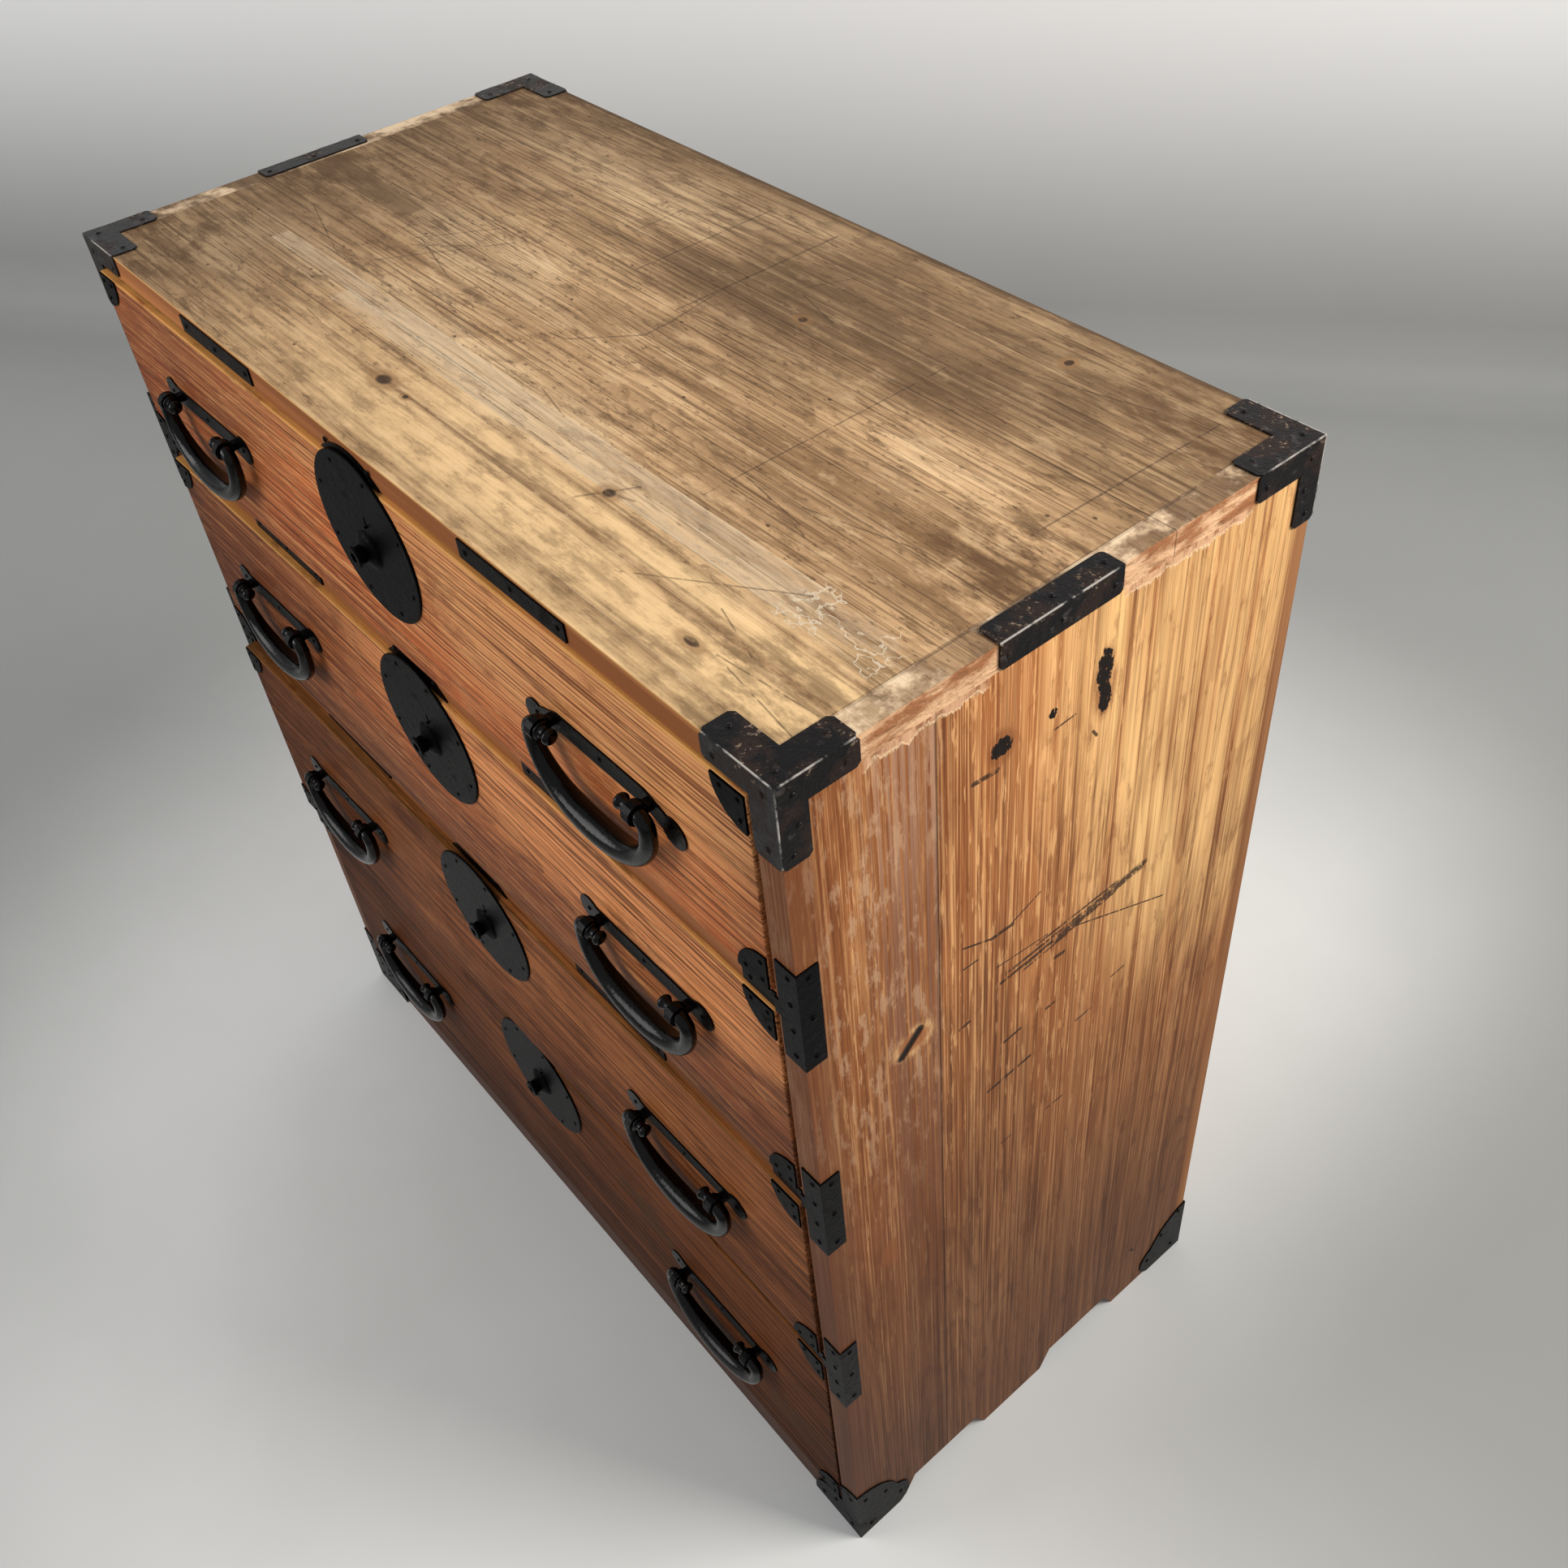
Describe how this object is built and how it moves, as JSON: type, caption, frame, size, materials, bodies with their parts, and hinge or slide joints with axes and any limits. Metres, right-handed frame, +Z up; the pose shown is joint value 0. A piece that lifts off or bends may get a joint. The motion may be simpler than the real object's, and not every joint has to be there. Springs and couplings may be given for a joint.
{
  "type": "clothing chest",
  "caption": "Japanese isho clothing chest: a board case with full-width drawers, round lock plates, forged bail handles and iron corner mounts.",
  "frame": {"origin": "centre of the base, on the floor", "axes": "+Z up, the drawer fronts face -Y, +X to the viewer's right when facing the drawers"},
  "size_m": [0.923, 0.4829, 1.0015],
  "materials": {
    "top_wood": "weathered, dry",
    "side_wood": "aged oil finish",
    "front_wood": "aged oil finish",
    "back_wood": "dry",
    "inner_wood": "dry",
    "iron": "dark forged, worn"
  },
  "bodies": {
    "case": {"top_board": "top_wood", "left_side": "side_wood", "right_side": "side_wood", "back_boards": "back_wood", "bottom_board": "inner_wood", "base_rail": "front_wood", "rails": "front_wood", "shelves": "inner_wood", "runners": "inner_wood", "drawer_stops": "inner_wood", "top_corner_irons": "iron", "bottom_corner_irons": "iron", "edge_straps": "iron", "rail_straps": "iron", "front_strips": "iron", "strike_plates": "iron"},
    "drawer_1": {"drawer_1_front": "front_wood", "drawer_1_sides": "inner_wood", "drawer_1_back": "inner_wood", "drawer_1_bottom": "inner_wood", "drawer_1_corner_plates": "iron", "drawer_1_lock_plate": "iron", "drawer_1_lock_case": "iron", "drawer_1_handle_mounts": "iron"},
    "drawer_1_bolt": {"drawer_1_lock_bolt": "iron"},
    "drawer_1_bail_left_body": {"drawer_1_bail_left": "iron"},
    "drawer_1_bail_right_body": {"drawer_1_bail_right": "iron"},
    "drawer_2": {"drawer_2_front": "front_wood", "drawer_2_sides": "inner_wood", "drawer_2_back": "inner_wood", "drawer_2_bottom": "inner_wood", "drawer_2_corner_plates": "iron", "drawer_2_lock_plate": "iron", "drawer_2_lock_case": "iron", "drawer_2_handle_mounts": "iron"},
    "drawer_2_bolt": {"drawer_2_lock_bolt": "iron"},
    "drawer_2_bail_left_body": {"drawer_2_bail_left": "iron"},
    "drawer_2_bail_right_body": {"drawer_2_bail_right": "iron"},
    "drawer_3": {"drawer_3_front": "front_wood", "drawer_3_sides": "inner_wood", "drawer_3_back": "inner_wood", "drawer_3_bottom": "inner_wood", "drawer_3_corner_plates": "iron", "drawer_3_lock_plate": "iron", "drawer_3_lock_case": "iron", "drawer_3_handle_mounts": "iron"},
    "drawer_3_bolt": {"drawer_3_lock_bolt": "iron"},
    "drawer_3_bail_left_body": {"drawer_3_bail_left": "iron"},
    "drawer_3_bail_right_body": {"drawer_3_bail_right": "iron"},
    "drawer_4": {"drawer_4_front": "front_wood", "drawer_4_sides": "inner_wood", "drawer_4_back": "inner_wood", "drawer_4_bottom": "inner_wood", "drawer_4_corner_plates": "iron", "drawer_4_lock_plate": "iron", "drawer_4_lock_case": "iron", "drawer_4_handle_mounts": "iron"},
    "drawer_4_bolt": {"drawer_4_lock_bolt": "iron"},
    "drawer_4_bail_left_body": {"drawer_4_bail_left": "iron"},
    "drawer_4_bail_right_body": {"drawer_4_bail_right": "iron"}
  },
  "joints": [
    {"name": "drawer_1_slide", "type": "slide", "parent": "case", "child": "drawer_1", "axis": [0, -1, 0], "range_m": [0, 0.32]},
    {"name": "drawer_1_bolt_slide", "type": "slide", "parent": "drawer_1", "child": "drawer_1_bolt", "axis": [0, 0, 1], "range_m": [0, 0.008]},
    {"name": "drawer_1_bail_left_swing", "type": "hinge", "parent": "drawer_1", "child": "drawer_1_bail_left_body", "pos_m": [-0.28091, -0.24183, 0.8991], "axis": [-1, -0.0044, 0], "range_deg": [0, 175]},
    {"name": "drawer_1_bail_right_swing", "type": "hinge", "parent": "drawer_1", "child": "drawer_1_bail_right_body", "pos_m": [0.28102, -0.23937, 0.8991], "axis": [-1, -0.0044, 0], "range_deg": [0, 175]},
    {"name": "drawer_2_slide", "type": "slide", "parent": "case", "child": "drawer_2", "axis": [0, -1, 0], "range_m": [0, 0.32]},
    {"name": "drawer_2_bolt_slide", "type": "slide", "parent": "drawer_2", "child": "drawer_2_bolt", "axis": [0, 0, 1], "range_m": [0, 0.008]},
    {"name": "drawer_2_bail_left_swing", "type": "hinge", "parent": "drawer_2", "child": "drawer_2_bail_left_body", "pos_m": [-0.28091, -0.24212, 0.70215], "axis": [-1, -0.0051, 0], "range_deg": [0, 175]},
    {"name": "drawer_2_bail_right_swing", "type": "hinge", "parent": "drawer_2", "child": "drawer_2_bail_right_body", "pos_m": [0.28103, -0.23928, 0.70215], "axis": [-1, -0.0051, 0], "range_deg": [0, 175]},
    {"name": "drawer_3_slide", "type": "slide", "parent": "case", "child": "drawer_3", "axis": [0, -1, 0], "range_m": [0, 0.32]},
    {"name": "drawer_3_bolt_slide", "type": "slide", "parent": "drawer_3", "child": "drawer_3_bolt", "axis": [0, 0, 1], "range_m": [0, 0.008]},
    {"name": "drawer_3_bail_left_swing", "type": "hinge", "parent": "drawer_3", "child": "drawer_3_bail_left_body", "pos_m": [-0.28085, -0.2464, 0.45665], "axis": [-1, -0.0093, 0], "range_deg": [0, 175]},
    {"name": "drawer_3_bail_right_swing", "type": "hinge", "parent": "drawer_3", "child": "drawer_3_bail_right_body", "pos_m": [0.28108, -0.2412, 0.45665], "axis": [-1, -0.0093, 0], "range_deg": [0, 175]},
    {"name": "drawer_4_slide", "type": "slide", "parent": "case", "child": "drawer_4", "axis": [0, -1, 0], "range_m": [0, 0.32]},
    {"name": "drawer_4_bolt_slide", "type": "slide", "parent": "drawer_4", "child": "drawer_4_bolt", "axis": [0, 0, 1], "range_m": [0, 0.008]},
    {"name": "drawer_4_bail_left_swing", "type": "hinge", "parent": "drawer_4", "child": "drawer_4_bail_left_body", "pos_m": [-0.28094, -0.23964, 0.18765], "axis": [-1, -0.0023, 0], "range_deg": [0, 175]},
    {"name": "drawer_4_bail_right_swing", "type": "hinge", "parent": "drawer_4", "child": "drawer_4_bail_right_body", "pos_m": [0.281, -0.23836, 0.18765], "axis": [-1, -0.0023, 0], "range_deg": [0, 175]}
  ]
}
